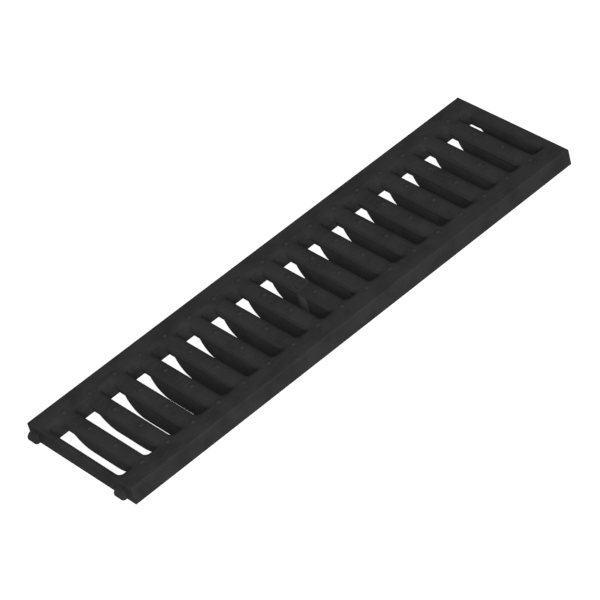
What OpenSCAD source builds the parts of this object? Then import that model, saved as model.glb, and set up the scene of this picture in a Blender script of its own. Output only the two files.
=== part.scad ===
// Slotted channel drain grate, moulded in one piece.
// The origin is on the axis of the fixing boss, at the level of the bearing faces under the rim.
// +X runs along the channel from the lug end to the socket end, and +Z is up.

/* [Slots] */
// Number of water slots, always even so that the fixing boss has a bar of its own
slot_count = 18; // [4:2:24]
// Distance from one slot to the next
slot_pitch = 27.8; // [25:0.1:36]
// Width of a slot, along the channel
slot_w = 14; // [10:0.5:16]
// Length of a slot, across the channel
slot_len = 94; // [80:1:110]
// Radius of a slot's corners seen from above
slot_corner_r = 4.5; // [2:0.5:4.5]

/* [Slot lips] */
// Width of the rounded lip round each slot
lip_w = 5; // [2:0.1:5]
// How far the lip has dropped where it meets the slot's wall
lip_drop = 1.7; // [0.5:0.1:3]
// Radius of the lip's curve
lip_r = 11; // [8:0.5:20]

/* [Rim] */
// Width of the grate across the channel
grate_w = 136; // [132:1:180]
// Height of the rim from its bearing faces to the top
rim_h = 17; // [15:0.5:25]
// Strip between the first slot and the end that has the lugs
lug_strip = 5.2; // [4:0.1:20]
// Strip between the last slot and the end that has the sockets
socket_strip = 8.2; // [4:0.1:20]
// Rounding of the rim's outer top edges
edge_r = 2; // [0.5:0.5:4]
// Thickness of the rim's walls around its hollows
wall_t = 3.6; // [2:0.1:5]
// Thickness of the ribs across the rim's hollows
rim_rib_t = 3; // [2:0.1:6]

/* [Bars] */
// Thickness of the deck, which is the upper part of the bars and of the rim
deck_t = 7; // [5:0.5:8]
// Height over which a bar narrows from the deck to its web
taper_h = 4; // [1:0.5:6]
// Thickness of the web under each bar
web_t = 8; // [7:0.1:11]
// Thickness of a web's walls around the hollow that is open below
web_wall = 2.5; // [1.5:0.1:3]
// How far the webs hang below the bearing faces
belly_drop = 14; // [8:0.5:20]
// How many webs at the lug end are shallower than the others
shallow_webs = 2; // [0:1:3]
// How far those webs hang below the bearing faces
shallow_drop = 6; // [1:0.5:12]
// Length of the flat stretch at the bottom of a web
belly_flat = 32; // [10:1:44]
// Length of the curve at each end of that stretch
belly_run = 22; // [12:0.5:24]
// Height of a web's ends above the bearing faces
web_end_z = 2; // [0:0.5:5]
// How far the web under the socket end hangs below the bearing faces
end_drop = 11; // [4:0.5:16]
// Distance of that web from both sides of the end strip
end_web_inset = 1; // [0.5:0.1:1.5]

/* [Fixing boss] */
// Diameter of the boss in the middle bar
boss_d = 13.6; // [11:0.1:20]
// Diameter of the pilot hole, which is open below
pilot_d = 6.4; // [3:0.1:8]
// Depth of the pilot hole
pilot_depth = 21; // [10:0.5:22]
// Diameter of the round pad on top of the boss
pad_d = 12.6; // [8:0.1:13.5]
// Height of the pad above the bar
pad_h = 0.5; // [0.2:0.1:1.5]
// Diameter of the drill mark in the pad
mark_d = 5.6; // [2:0.1:7]
// Depth of the drill mark
mark_depth = 0.8; // [0.2:0.1:1.5]

/* [Anti-slip studs] */
// Number of studs along each bar
stud_rows = 4; // [2:2:6]
// Distance from one stud to the next along a bar
stud_spacing = 33.7; // [16:0.1:40]
// Diameter of a stud at its root, just inside the bar
stud_d = 4.4; // [2:0.1:6]
// Diameter of a stud's flat top
stud_top_d = 2.8; // [1:0.1:5]
// Height of a stud
stud_h = 0.8; // [0.3:0.1:2]

/* [Lugs and sockets] */
// Radius of a lug's round nose
lug_r = 5; // [4:0.5:7]
// How far a lug stands out of the end face
lug_out = 6; // [3:0.5:8]
// Width of a lug across the channel
lug_w = 8; // [5:0.5:12]
// Height of a lug's centre above the bearing faces
lug_z = 5.5; // [4:0.5:8]
// Distance from the near long side to the centre of the near lug
near_lug_inset = 15; // [9:0.5:15]
// Distance from the far long side to the centre of the far lug
far_lug_inset = 8; // [8:0.5:15]
// Clearance round a lug in the socket of the next grate
socket_gap = 0.5; // [0.2:0.1:1]

/* [Hidden] */
$fn = 48;
// Overlap that makes joined shapes one solid
join = 0.5;
// Extra length by which a cut runs past a face
cut = 1;
bar_w = slot_pitch - slot_w;
slot_row = (slot_count - 1) * slot_pitch + slot_w;
lug_end_x = -slot_row / 2 - lug_strip;
socket_end_x = slot_row / 2 + socket_strip;
grate_len = socket_end_x - lug_end_x;
rail_w = (grate_w - slot_len) / 2;
deck_z = rim_h - deck_t;
web_top_z = deck_z - taper_h;
lug_sides = [near_lug_inset - grate_w / 2, grate_w / 2 - far_lug_inset];

function slot_x(i) = (i - (slot_count - 1) / 2) * slot_pitch;
function bar_x(i) = (i - (slot_count - 2) / 2) * slot_pitch;
// Points on an arc from angle a to angle b about a centre
function arc(centre, r, a, b, steps) = [
    for (i = [0:steps]) centre + r * [cos(a + (b - a) * i / steps), sin(a + (b - a) * i / steps)]
];

// Lays a flat outline across the channel, with its second axis up, and extrudes it along X
module along_x(length) {
    rotate([90, 0, 90]) linear_extrude(length, center = true) children();
}

// Lays a flat outline along the channel, with its second axis up, and extrudes it along Y
module along_y(length) {
    rotate([90, 0, 0]) linear_extrude(length, center = true) children();
}

module slot_outline() {
    square([slot_w - 2 * slot_corner_r, slot_len], center = true);
    square([slot_w, slot_len - 2 * slot_corner_r], center = true);
    for (x = [-1, 1], y = [-1, 1])
        translate([x * (slot_w / 2 - slot_corner_r), y * (slot_len / 2 - slot_corner_r)])
            circle(slot_corner_r);
}

// Section of the material that the lip's curve takes away, from the slot's wall outwards
module lip_section() {
    chord = sqrt(pow(lip_w, 2) + pow(lip_drop, 2));
    reach = sqrt(pow(lip_r, 2) - pow(chord / 2, 2));
    centre = [lip_w / 2 + reach * lip_drop / chord, -lip_drop / 2 - reach * lip_w / chord];
    difference() {
        translate([-join, -lip_drop - join]) square([lip_w + join, lip_drop + join + cut]);
        translate(centre) circle(lip_r, $fn = 96);
    }
}

module slot_lip() {
    straight_x = slot_w - 2 * slot_corner_r;
    straight_y = slot_len - 2 * slot_corner_r;
    for (side = [0, 180]) rotate([0, 0, side]) {
        translate([slot_w / 2, 0, rim_h]) along_y(straight_y) lip_section();
        translate([0, slot_len / 2, rim_h]) along_x(straight_x) lip_section();
    }
    for (quarter = [0:3])
        translate([
            (quarter == 0 || quarter == 3 ? 1 : -1) * straight_x / 2,
            (quarter < 2 ? 1 : -1) * straight_y / 2,
            rim_h
        ])
            rotate([0, 0, quarter * 90])
                rotate_extrude(angle = 90) translate([slot_corner_r, 0]) lip_section();
}

module slot() {
    translate([0, 0, deck_z - cut]) linear_extrude(deck_t + 2 * cut) slot_outline();
    slot_lip();
}

module rail_hollows(side) {
    hollow_w = rail_w - 2 * wall_t;
    socket_wall = lug_out + socket_gap + wall_t;
    for (i = [0:slot_count - 1]) {
        left = i == 0 ? lug_end_x + lug_strip : slot_x(i) - (slot_pitch - rim_rib_t) / 2;
        right = i == slot_count - 1 ? socket_end_x - socket_wall : slot_x(i) + (slot_pitch - rim_rib_t) / 2;
        translate([left, side * (slot_len + rail_w) / 2 - hollow_w / 2, -cut])
            cube([right - left, hollow_w, deck_z + cut]);
    }
}

module rim_block() {
    translate([lug_end_x, -grate_w / 2, 0]) cube([grate_len, grate_w, rim_h]);
}

module under_deck() {
    translate([-slot_row / 2, -slot_len / 2, -cut]) cube([slot_row, slot_len, deck_z + cut]);
}

// Section of the edge rounding's cut, with the edge at the origin and the body at minus both axes
module edge_section() {
    polygon(concat(arc([-edge_r, -edge_r], edge_r, 0, 90, 6), [[-edge_r, cut], [cut, cut], [cut, -edge_r]]));
}

module edge_cuts() {
    middle_x = (lug_end_x + socket_end_x) / 2;
    translate([middle_x, grate_w / 2, rim_h]) along_x(grate_len + 2 * cut) edge_section();
    translate([middle_x, -grate_w / 2, rim_h]) along_x(grate_len + 2 * cut) mirror([1, 0]) edge_section();
    translate([socket_end_x, 0, rim_h]) along_y(grate_w + 2 * cut) edge_section();
    translate([lug_end_x, 0, rim_h]) along_y(grate_w + 2 * cut) mirror([1, 0]) edge_section();
}

module bar_taper() {
    along_y(slot_len + 2 * join)
        polygon([
            [-bar_w / 2, deck_z + join], [-bar_w / 2, deck_z], [-web_t / 2, web_top_z],
            [web_t / 2, web_top_z], [bar_w / 2, deck_z], [bar_w / 2, deck_z + join]
        ]);
}

// Side view of a web that hangs down by drop, with a curve at each end of its flat stretch
module web_outline(drop) {
    half_flat = belly_flat / 2;
    rise = drop + web_end_z;
    belly_r = (pow(belly_run, 2) + pow(rise, 2)) / (2 * rise);
    sweep = asin(belly_run / belly_r);
    centre_z = belly_r - drop;
    end_y = slot_len / 2 + join;
    polygon(concat(
        [[-end_y, deck_z], [-end_y, web_end_z]],
        arc([-half_flat, centre_z], belly_r, 270 - sweep, 270, 8),
        arc([half_flat, centre_z], belly_r, 270, 270 + sweep, 8),
        [[end_y, web_end_z], [end_y, deck_z]]
    ));
}

module web(drop) {
    hollow_len = belly_flat + 2 * belly_run - 2 * web_wall;
    hollow_top = web_top_z - web_wall;
    difference() {
        along_x(web_t) web_outline(drop);
        translate([web_wall - web_t / 2, -hollow_len / 2, -drop - cut])
            cube([web_t - 2 * web_wall, hollow_len, hollow_top + drop + cut]);
    }
}

// Web under the strip at the socket end, which closes the view below the last slot
module end_web() {
    translate([socket_end_x - socket_strip / 2, 0, 0]) along_x(socket_strip - 2 * end_web_inset) web_outline(end_drop);
}

module boss() {
    translate([0, 0, -belly_drop]) cylinder(h = belly_drop + deck_z + join, d = boss_d);
}

module boss_pad() {
    difference() {
        translate([0, 0, deck_z]) cylinder(h = deck_t + pad_h, d = pad_d);
        translate([0, 0, rim_h + pad_h - mark_depth]) cylinder(h = mark_depth + cut, d = mark_d);
    }
}

module pilot_hole() {
    translate([0, 0, -belly_drop - cut]) cylinder(h = pilot_depth + cut, d = pilot_d);
}

module studs() {
    for (i = [0:slot_count - 2], row = [0:stud_rows - 1])
        translate([bar_x(i), (row - (stud_rows - 1) / 2) * stud_spacing, rim_h - join])
            cylinder(h = join + stud_h, d1 = stud_d, d2 = stud_top_d, $fn = 20);
}

// Side view of a lug with room of gap all round, its root at the origin and its nose at minus X
module lug_outline(gap) {
    neck = max(lug_out - lug_r, 0);
    translate([lug_r - lug_out, 0]) circle(lug_r + gap);
    translate([-neck, -lug_r - gap]) square([neck + cut, 2 * (lug_r + gap)]);
}

module lugs() {
    for (y = lug_sides)
        translate([lug_end_x, y, lug_z])
            along_y(lug_w)
                intersection() {
                    lug_outline(0);
                    translate([-lug_out - cut, -lug_r - cut]) square([lug_out + 2 * cut, 2 * (lug_r + cut)]);
                }
}

module sockets() {
    depth = lug_out + socket_gap;
    for (y = lug_sides)
        translate([socket_end_x, y, 0])
            along_y(lug_w + 2 * socket_gap) {
                translate([0, lug_z]) lug_outline(socket_gap);
                translate([-depth, -cut]) square([depth + cut, lug_z + cut]);
            }
}

module grate() {
    color([0.18, 0.18, 0.19])
    difference() {
        union() {
            difference() {
                rim_block();
                under_deck();
                rail_hollows(-1);
                rail_hollows(1);
                for (i = [0:slot_count - 1]) translate([slot_x(i), 0, 0]) slot();
                edge_cuts();
                sockets();
            }
            for (i = [0:slot_count - 2]) translate([bar_x(i), 0, 0]) {
                bar_taper();
                web(i < shallow_webs ? shallow_drop : belly_drop);
            }
            end_web();
            boss();
            boss_pad();
            studs();
            lugs();
        }
        pilot_hole();
    }
}

grate();
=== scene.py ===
# %% [markdown]
# # A channel drain grate in black plastic
# This lesson dresses a finished construction model. The grate is one moulding: a rim, cross bars
# with rounded lips, webs under the bars, a fixing boss, studs and two lugs. The construction model
# holds its true sizes, so nothing here moves or resizes it. What is left to do is what a camera
# sees close up: smooth lips, round studs, the moulded skin and the light. Blender counts in metres,
# and MM turns millimetres into them.

# %% Start from the construction model
import math

import bmesh
import bpy
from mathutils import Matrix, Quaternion, Vector


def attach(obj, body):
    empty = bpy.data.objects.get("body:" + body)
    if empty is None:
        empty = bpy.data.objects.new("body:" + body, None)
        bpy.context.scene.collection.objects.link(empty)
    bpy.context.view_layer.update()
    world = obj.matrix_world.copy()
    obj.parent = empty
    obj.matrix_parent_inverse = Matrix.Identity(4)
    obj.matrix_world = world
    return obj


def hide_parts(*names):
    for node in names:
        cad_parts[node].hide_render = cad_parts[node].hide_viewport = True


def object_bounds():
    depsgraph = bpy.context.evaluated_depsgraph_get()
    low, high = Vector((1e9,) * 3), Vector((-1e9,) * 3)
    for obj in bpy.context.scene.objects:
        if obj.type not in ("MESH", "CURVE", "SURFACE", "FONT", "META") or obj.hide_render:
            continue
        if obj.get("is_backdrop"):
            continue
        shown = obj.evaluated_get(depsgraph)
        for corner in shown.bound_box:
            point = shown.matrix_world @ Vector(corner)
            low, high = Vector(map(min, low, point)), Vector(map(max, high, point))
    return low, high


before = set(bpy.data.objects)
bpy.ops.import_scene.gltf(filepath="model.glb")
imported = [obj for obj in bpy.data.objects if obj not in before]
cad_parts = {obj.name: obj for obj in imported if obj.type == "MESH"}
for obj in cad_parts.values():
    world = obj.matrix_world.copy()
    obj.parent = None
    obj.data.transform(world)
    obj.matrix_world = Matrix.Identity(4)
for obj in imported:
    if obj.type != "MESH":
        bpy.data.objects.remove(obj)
cad_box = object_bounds()
MM = 0.001
print("construction box in mm:", [[round(v / MM, 1) for v in corner] for corner in cad_box])

# %% [markdown]
# ## The camera
# The photo was taken from above the near long side, turned towards the lug end, and with a long
# lens, because the grate's long sides hardly draw together. A camera could be placed by its
# coordinates, but it is easier to read as a target, a distance and three angles. The photo also
# leans, so the third angle rolls the camera about its own line of sight. Lens and sensor are given
# in millimetres, as on a real camera.

# %% Aim the camera
CAMERA_TARGET = Vector((-15.2, -14.5, 17.0)) * MM
CAMERA_DISTANCE = 2784.4 * MM
CAMERA_TURN = math.radians(32.14)
CAMERA_HEIGHT_ANGLE = math.radians(39.04)
CAMERA_ROLL = math.radians(16.01)
CAMERA_LENS = 202.07
CAMERA_SENSOR = 36
FARTHEST_SEEN = 50


def put_in_scene(name, data):
    """A new object at the origin, linked to the scene."""
    thing = bpy.data.objects.new(name, data)
    bpy.context.scene.collection.objects.link(thing)
    return thing


def line_of_sight(turn, height_angle):
    """Where a camera looks: turn is from +Y towards +X, height_angle is downwards."""
    flat = math.cos(height_angle)
    return Vector((math.sin(turn) * flat, math.cos(turn) * flat, -math.sin(height_angle)))


camera = put_in_scene("camera", bpy.data.cameras.new("camera"))
bpy.context.scene.camera = camera
sight = line_of_sight(CAMERA_TURN, CAMERA_HEIGHT_ANGLE)
roll = Quaternion((0, 0, 1), -CAMERA_ROLL)
camera.location = CAMERA_TARGET - sight * CAMERA_DISTANCE
camera.rotation_mode = "QUATERNION"
camera.rotation_quaternion = sight.to_track_quat("-Z", "Y") @ roll
camera.data.sensor_width = CAMERA_SENSOR
camera.data.lens = CAMERA_LENS
camera.data.clip_end = FARTHEST_SEEN
print("camera at", [round(v, 3) for v in camera.location])

# %% [markdown]
# ## The floor
# The photo's ground is pure white, also where it shows through the slots. A white floor under
# strong lights would do that too, but it would throw their light back on the black sides. So this
# floor is a dark sheet of milk glass that glows, as on a product table, and its white doesn't hang
# on the lights. It is clear from behind, so the underside of the grate can be looked at as well.

# %% Lay the floor
FLOOR_SIZE = 12.0
FLOOR_TONE = 0.12
FLOOR_ROUGHNESS = 0.9
FLOOR_GLOW = 0.9
FLOOR_GAP = 0.05 * MM
WHITE = (1, 1, 1, 1)


def grey(tone):
    """A tone as an even colour."""
    return (tone, tone, tone, 1)


def feed(tree, node, inputs):
    """Sets inputs of a node, each to a value or to what another node puts out."""
    for socket, given in inputs.items():
        if isinstance(given, bpy.types.NodeSocket):
            tree.links.new(given, node.inputs[socket])
        else:
            node.inputs[socket].default_value = given


def glass_sheet(name):
    """Milk glass that glows on its front and is clear from behind."""
    material = bpy.data.materials.new(name)
    material.use_nodes = True
    tree = material.node_tree
    front = tree.nodes["Principled BSDF"]
    feed(tree, front, {"Base Color": grey(FLOOR_TONE), "Roughness": FLOOR_ROUGHNESS})
    feed(tree, front, {"Emission Color": WHITE, "Emission Strength": FLOOR_GLOW})
    side = tree.nodes.new("ShaderNodeNewGeometry")
    clear = tree.nodes.new("ShaderNodeBsdfTransparent")
    sheet = tree.nodes.new("ShaderNodeMixShader")
    feed(tree, sheet, {"Fac": side.outputs["Backfacing"]})
    feed(tree, sheet, {1: front.outputs["BSDF"], 2: clear.outputs["BSDF"]})
    feed(tree, tree.nodes["Material Output"], {"Surface": sheet.outputs["Shader"]})
    return material


half = FLOOR_SIZE / 2
floor_z = cad_box[0][2] - FLOOR_GAP
corners = [(x * half, y * half, floor_z) for x, y in ((-1, -1), (1, -1), (1, 1), (-1, 1))]
floor_mesh = bpy.data.meshes.new("floor")
floor_mesh.from_pydata(corners, [], [(0, 1, 2, 3)])
floor_mesh.materials.append(glass_sheet("pale_floor"))
floor = put_in_scene("floor", floor_mesh)
floor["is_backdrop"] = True
print("floor at", round(floor_z / MM, 2), "mm")

# %% [markdown]
# ## The light
# In the photo the near long side is the brightest face, and the top and the lug end are alike. So
# the main light stands low in front, on the lug end's side. It is large, because no edge throws a
# hard shadow. White surroundings fill the slots, and a weak light from behind shows the two sides
# that the photo hides. The view transform is the standard one, which leaves a dark tone as dark as
# the lights make it.

# %% Set the lights
SURROUND_STRENGTH = 0.5
GRATE_MIDDLE = Vector((0, 0, 0))
LIGHT_SIZE = 1.6
KEY_PLACE = Vector((-1.75, -2.85, 2.18))
KEY_POWER = 505
FILL_PLACE = Vector((2.2, 2.6, 1.9))
FILL_POWER = 65


def soft_light(name, place, power):
    """A large square light that is turned to the middle of the grate."""
    lamp = put_in_scene(name, bpy.data.lights.new(name, "AREA"))
    lamp.data.shape = "SQUARE"
    lamp.data.size = LIGHT_SIZE
    lamp.data.energy = power
    lamp.location = place
    lamp.rotation_mode = "QUATERNION"
    lamp.rotation_quaternion = (GRATE_MIDDLE - place).to_track_quat("-Z", "Y")
    return lamp


bpy.context.scene.view_settings.view_transform = "Standard"
world = bpy.data.worlds.new("studio")
bpy.context.scene.world = world
world.use_nodes = True
background = world.node_tree.nodes["Background"]
feed(world.node_tree, background, {"Color": WHITE, "Strength": SURROUND_STRENGTH})
lights = [
    soft_light("key_light", KEY_PLACE, KEY_POWER),
    soft_light("fill_light", FILL_PLACE, FILL_POWER),
]
print("lights:", [light.name for light in lights])

# %% [markdown]
# ## The skin of the moulding
# The grate is moulded in one black plastic, so one material dresses all of it. Its skin is matt
# and hardly mirrors anything, which is why its specular level is so low. Everything else that the
# skin shows depends on the place on the grate, and is read from the object's own coordinates. So
# nothing has to be painted or unwrapped, and the pattern stays where it is from every side.

# %% Start the skin
PLASTIC_IOR = 1.49
PLASTIC_SPECULAR = 0.006

black_plastic = bpy.data.materials.new("black_plastic")
black_plastic.use_nodes = True
skin = black_plastic.node_tree
shader = skin.nodes["Principled BSDF"]
feed(skin, shader, {"IOR": PLASTIC_IOR, "Specular IOR Level": PLASTIC_SPECULAR})
place = skin.nodes.new("ShaderNodeTexCoord").outputs["Object"]
axes = skin.nodes.new("ShaderNodeSeparateXYZ")
feed(skin, axes, {"Vector": place})
height = axes.outputs["Z"]
print("skin starts with", len(skin.nodes), "nodes")

# %% [markdown]
# ## Clouds and grain
# Moulded black isn't quite even: it clouds a little where the melt met, and the mould leaves a fine
# grain. Two noise textures make them, one with spots as wide as a thumb and one with spots under a
# millimetre. Their sum runs through a ramp from the black to a slightly paler black.

# %% Cloud and speckle the black
PLASTIC_TONE = 0.0084
CLOUD_TONE = 0.0124
CLOUD_SCALE = 45
CLOUD_DETAIL = 4
GRAIN_SCALE = 1400
GRAIN_DETAIL = 3
GRAIN_SHARE = 0.8
BLACK_UNTIL = 0.7
HALFWAY = 0.5


def noise(where, scale, detail, warp=0):
    """Soft random spots, with about as many in a metre as the scale says."""
    spots = skin.nodes.new("ShaderNodeTexNoise")
    feed(skin, spots, {"Vector": where, "Scale": scale, "Detail": detail, "Distortion": warp})
    return spots.outputs["Fac"]


def grey_ramp(value, stops, easing="LINEAR"):
    """A ramp of greys through (position, tone) stops."""
    ramp = skin.nodes.new("ShaderNodeValToRGB")
    ramp.color_ramp.interpolation = easing
    marks = ramp.color_ramp.elements
    # New marks start halfway, and then every mark moves to its stop.
    while len(marks) < len(stops):
        marks.new(HALFWAY)
    for mark, (position, tone) in zip(marks, stops):
        mark.position = position
        mark.color = grey(tone)
    feed(skin, ramp, {"Fac": value})
    return ramp.outputs["Color"]


clouds = noise(place, CLOUD_SCALE, CLOUD_DETAIL)
grain = noise(place, GRAIN_SCALE, GRAIN_DETAIL)
speckled = skin.nodes.new("ShaderNodeMath")
speckled.operation = "MULTIPLY_ADD"
feed(skin, speckled, {0: grain, 1: GRAIN_SHARE, 2: clouds})
moulded = grey_ramp(speckled.outputs["Value"], ((BLACK_UNTIL, PLASTIC_TONE), (1, CLOUD_TONE)))
print("mm across: clouds", round(1 / CLOUD_SCALE / MM), "and grain", round(1 / GRAIN_SCALE / MM, 1))

# %% [markdown]
# ## Painted light on the slot walls, and dust on the boss
# The upper walls of the slots are painted a paler black. This is painted light: it stands for the
# light that reaches the tops of the walls, while the webs below lie in the shade of the bars. Dust
# clings to the boss, which stands out from its web. The webs and the outer sides keep the plain
# black. A painter would mask these places off, and so do the nodes: the height finds the band of
# painted light, a box around the slots keeps it off the outer sides, and the distance from the
# boss's axis finds the boss. Where two masks have to agree they are multiplied, and where either
# will do they are added. The sizes of the masks are in millimetres.

# %% Mask by height
# The first heights give the band of painted light on the upper slot walls, the second give the dust on the
# boss.
PAINTED_LIGHT_HEIGHTS = ((8, 0), (12.6, 1), (14.7, 1), (15.8, 0))
BOSS_HEIGHTS = ((-16, 1), (14.9, 1), (16.1, 0))


def spread(value, source, target=(0, 1)):
    """Maps one range of values to another, and stops at its ends."""
    span = skin.nodes.new("ShaderNodeMapRange")
    feed(skin, span, {"Value": value, "From Min": source[0], "From Max": source[1]})
    feed(skin, span, {"To Min": target[0], "To Max": target[1]})
    return span.outputs["Result"]


def height_band(stops):
    """A mask that follows (height in mm, strength) stops up the object."""
    low, high = stops[0][0], stops[-1][0]
    share = spread(height, (low * MM, high * MM))
    return grey_ramp(share, [((at - low) / (high - low), value) for at, value in stops], "EASE")


painted_light_band = height_band(PAINTED_LIGHT_HEIGHTS)
boss_band = height_band(BOSS_HEIGHTS)
print("dusty walls from", PAINTED_LIGHT_HEIGHTS[0][0], "to", PAINTED_LIGHT_HEIGHTS[-1][0], "mm up")

# %% Mask by place
SLOT_FIELD_MIDDLE = (1.5, 0, 0)
SLOT_FIELD_HALF = {"X": 243, "Y": 42.5}
FIELD_FADE = 4
BOSS_REACH = (8.2, 7.4)
WITHOUT_HEIGHT = (1, 1, 0)


def vector_step(operation, *vectors):
    """One step of vector arithmetic."""
    step = skin.nodes.new("ShaderNodeVectorMath")
    step.operation = operation
    feed(skin, step, dict(enumerate(vectors)))
    return step.outputs


def joined(operation, first, second):
    """Two masks joined by a sum or a product, and kept between 0 and 1."""
    both = skin.nodes.new("ShaderNodeMath")
    both.operation = operation
    both.use_clamp = True
    feed(skin, both, {0: first, 1: second})
    return both.outputs["Value"]


def over_slots():
    """A mask that is 1 where the slots are, seen from above, and fades out around them."""
    offset = vector_step("SUBTRACT", place, [v * MM for v in SLOT_FIELD_MIDDLE])["Vector"]
    sides = skin.nodes.new("ShaderNodeSeparateXYZ")
    feed(skin, sides, {"Vector": vector_step("ABSOLUTE", offset)["Vector"]})
    along, across = (
        spread(sides.outputs[axis], ((reach + FIELD_FADE) * MM, reach * MM))
        for axis, reach in SLOT_FIELD_HALF.items()
    )
    return joined("MULTIPLY", along, across)


def around_boss():
    """A mask that is 1 near the object's Z axis, where the boss is, and 0 from there out."""
    flat = vector_step("MULTIPLY", place, WITHOUT_HEIGHT)["Vector"]
    from_axis = vector_step("LENGTH", flat)["Value"]
    return spread(from_axis, [reach * MM for reach in BOSS_REACH])


# Painted light on the upper walls inside the slot field, and dust on the boss.
painted_light_on_walls = joined("MULTIPLY", painted_light_band, over_slots())
on_boss = joined("MULTIPLY", boss_band, around_boss())
# The first reach printed is that of the painted light over the slots, the second is that of the dust round
# the boss.
print("dust reaches", SLOT_FIELD_HALF["Y"], "mm across and", BOSS_REACH[0], "mm round the boss")

# %% Lay the painted light and the dust
# One paler tone serves as painted light on the slot walls and as dust on the boss.
PAINTED_LIGHT_AND_DUST_TONE = 0.0154


def layer(mask, below, tone):
    """An even tone laid over a colour where the mask is 1."""
    mix = skin.nodes.new("ShaderNodeMix")
    mix.data_type = "RGBA"
    feed(skin, mix, {"Factor": mask, "A": below, "B": grey(tone)})
    return mix.outputs["Result"]


painted_light_and_dust = layer(joined("ADD", painted_light_on_walls, on_boss), moulded, PAINTED_LIGHT_AND_DUST_TONE)
print("dust is", round(PAINTED_LIGHT_AND_DUST_TONE / PLASTIC_TONE, 1), "times as bright as the black")

# %% [markdown]
# ## Wear
# Soles and tyres leave thin, broken streaks along the top, and they rub the studs a shade lighter.
# The streaks are one more noise, squeezed hard across the grate and little along it, of which only
# the brightest part is kept. The height holds them to the top, and finds the heads of the studs.

# %% Scuff the top and rub the studs
SCUFF_TONE = 0.0150
SCUFF_HEIGHTS = ((15.6, 0), (16.6, 1))
SCUFF_SQUEEZE = (60, 800, 60)
SCUFF_DETAIL = 4
SCUFF_WARP = 0.4
SCUFF_KEPT = (0.56, 0.72)
STUD_TONE = 0.0125
STUD_HEIGHTS = ((17.2, 0), (17.45, 1))

squeezed = skin.nodes.new("ShaderNodeMapping")
feed(skin, squeezed, {"Vector": place, "Scale": SCUFF_SQUEEZE})
streaks = spread(noise(squeezed.outputs["Vector"], 1, SCUFF_DETAIL, SCUFF_WARP), SCUFF_KEPT)
scuffed = layer(joined("MULTIPLY", height_band(SCUFF_HEIGHTS), streaks), painted_light_and_dust, SCUFF_TONE)
feed(skin, shader, {"Base Color": layer(height_band(STUD_HEIGHTS), scuffed, STUD_TONE)})
print("studs are rubbed above", STUD_HEIGHTS[0][0], "mm")

# %% [markdown]
# ## Sheen and relief
# The mould's fine texture breaks up the light. The clouds carry over to the roughness, so that the
# sheen wanders as the colour does, and the grain stands up as a fine bump. The grain is far too
# small for the mesh, so it is left to the material.

# %% Give the skin its sheen and relief
SHEEN_ROUGHNESS = (0.55, 0.75)
GRAIN_STRENGTH = 0.6
GRAIN_DEPTH = 0.12 * MM

relief = skin.nodes.new("ShaderNodeBump")
feed(skin, relief, {"Height": grain, "Strength": GRAIN_STRENGTH, "Distance": GRAIN_DEPTH})
feed(skin, shader, {"Roughness": spread(clouds, (0, 1), SHEEN_ROUGHNESS)})
feed(skin, shader, {"Normal": relief.outputs["Normal"]})
print("finished skin has", len(skin.nodes), "nodes")

# %% [markdown]
# ## The moulding
# The construction model's mesh is loose triangles, which shade as flat facets. A copy of it is
# welded into one skin and shaded smooth, with each real corner marked as sharp. So the lips and the
# bellies of the webs look round, and the mould's parting edges stay crisp. The copy then stands for
# the construction node.

# %% Copy and weld the construction mesh
WELD_DISTANCE = 0.002 * MM
SHARP_ANGLE = math.radians(28)


def welded_copy(node, name):
    """A copy of a construction node's mesh, welded and shaded smooth between its real corners."""
    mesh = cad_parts[node].data.copy()
    mesh.name = name
    mesh.materials.clear()
    shape = bmesh.new()
    shape.from_mesh(mesh)
    bmesh.ops.remove_doubles(shape, verts=shape.verts, dist=WELD_DISTANCE)
    for face in shape.faces:
        face.smooth = True
    for edge in shape.edges:
        edge.smooth = edge.is_manifold and edge.calc_face_angle() < SHARP_ANGLE
    shape.to_mesh(mesh)
    shape.free()
    return mesh


moulding = put_in_scene("grate_moulding", welded_copy("grate", "grate_moulding"))
moulding.data.materials.append(black_plastic)
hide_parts("grate")
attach(moulding, "root")
print("moulding faces:", len(moulding.data.polygons))

# %% [markdown]
# ## Studs for grip
# Four rows of small domes run along the grate, one dome of each row on every bar, so that a shoe
# doesn't slide. The construction model has them as cut cones, and a worn mould leaves them rounder.
# They stand on an even grid, which is a rule, so Geometry Nodes lay them out: one dome on each
# point of a grid. Each dome is a flattened ball whose lower half is sunk in the bar, which keeps
# its mesh closed, and it covers the cone below it. The ball's radius is 1, so the stud size is
# simply the scale that flattens it.

# %% Build the stud tree
STUD_SEGMENTS = 16
STUD_RINGS = 8
STUD_INPUTS = {
    "Length": "NodeSocketFloat",
    "Width": "NodeSocketFloat",
    "Columns": "NodeSocketInt",
    "Rows": "NodeSocketInt",
    "Stud Size": "NodeSocketVector",
    "Place": "NodeSocketVector",
    "Finish": "NodeSocketMaterial",
}


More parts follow.
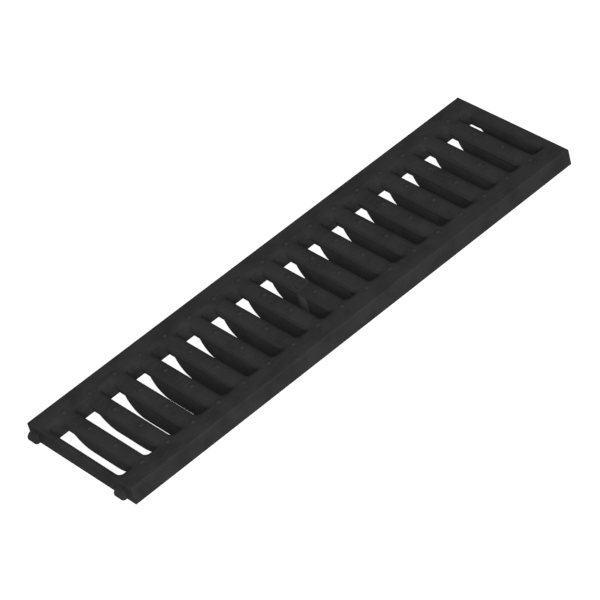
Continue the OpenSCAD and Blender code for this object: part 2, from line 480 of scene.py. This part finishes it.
def make_stud_tree():
    """A node tree that puts a flattened ball on each point of a grid."""
    tree = bpy.data.node_groups.new("stud_grid", "GeometryNodeTree")
    for label, kind in STUD_INPUTS.items():
        tree.interface.new_socket(label, in_out="INPUT", socket_type=kind)
    tree.interface.new_socket("Studs", in_out="OUTPUT", socket_type="NodeSocketGeometry")
    add = tree.nodes.new
    given = add("NodeGroupInput").outputs

    grid = add("GeometryNodeMeshGrid")
    feed(tree, grid, {"Size X": given["Length"], "Size Y": given["Width"]})
    feed(tree, grid, {"Vertices X": given["Columns"], "Vertices Y": given["Rows"]})
    ball = add("GeometryNodeMeshUVSphere")
    feed(tree, ball, {"Segments": STUD_SEGMENTS, "Rings": STUD_RINGS, "Radius": 1})
    dome = add("GeometryNodeTransform")
    feed(tree, dome, {"Geometry": ball.outputs["Mesh"], "Scale": given["Stud Size"]})

    domes = add("GeometryNodeInstanceOnPoints")
    feed(tree, domes, {"Points": grid.outputs["Mesh"], "Instance": dome.outputs["Geometry"]})
    lifted = add("GeometryNodeTransform")
    feed(tree, lifted, {"Geometry": domes.outputs["Instances"], "Translation": given["Place"]})
    real = add("GeometryNodeRealizeInstances")
    feed(tree, real, {"Geometry": lifted.outputs["Geometry"]})
    smooth = add("GeometryNodeSetShadeSmooth")
    feed(tree, smooth, {"Geometry": real.outputs["Geometry"]})
    finished = add("GeometryNodeSetMaterial")
    feed(tree, finished, {"Geometry": smooth.outputs["Geometry"], "Material": given["Finish"]})
    feed(tree, add("NodeGroupOutput"), {"Studs": finished.outputs["Geometry"]})
    return tree


stud_tree = make_stud_tree()
print("stud tree nodes:", len(stud_tree.nodes))

# %% Grow the studs
STUD_COLUMNS = 17
STUD_ROWS = 4
STUD_PITCH = 27.8 * MM
STUD_SPACING = 33.7 * MM
STUD_RADIUS = 2.6 * MM
STUD_HEIGHT = 1.0 * MM
DECK_HEIGHT = 17 * MM


def grown_piece(name, tree, settings):
    """An object whose mesh is what the tree makes with these inputs, with no modifier left."""
    piece = put_in_scene(name, bpy.data.meshes.new(name))
    grower = piece.modifiers.new(name, "NODES")
    grower.node_group = tree
    for item in tree.interface.items_tree:
        if item.in_out == "INPUT":
            grower[item.identifier] = settings[item.name]
    bpy.context.view_layer.update()
    evaluated = piece.evaluated_get(bpy.context.evaluated_depsgraph_get())
    mesh = bpy.data.meshes.new_from_object(evaluated)
    # A mesh that a tree has grown starts with an empty material slot.
    while mesh.materials[0] is None:
        mesh.materials.pop(index=0)
    piece.modifiers.remove(grower)
    piece.data = mesh
    return piece


stud_settings = {
    "Length": (STUD_COLUMNS - 1) * STUD_PITCH,
    "Width": (STUD_ROWS - 1) * STUD_SPACING,
    "Columns": STUD_COLUMNS,
    "Rows": STUD_ROWS,
    "Stud Size": (STUD_RADIUS, STUD_RADIUS, STUD_HEIGHT),
    "Place": (0, 0, DECK_HEIGHT),
    "Finish": black_plastic,
}
studs = grown_piece("grip_studs", stud_tree, stud_settings)
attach(studs, "root")
print("studs:", STUD_COLUMNS * STUD_ROWS, "with", len(studs.data.polygons), "faces in all")

# %% [markdown]
# ## Both boxes
# The dressed grate has to keep the size of its construction model, because other parts meet it
# there. Its box is measured once more and printed beside the first one, so the two can be
# compared after each render.

# %% Print both boxes and finish
sizes = {"cad": [list(corner) for corner in cad_box], "visual": [list(corner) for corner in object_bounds()]}
for name, box in sizes.items():
    print(name, "box in mm:", [[round(v / MM, 2) for v in corner] for corner in box])
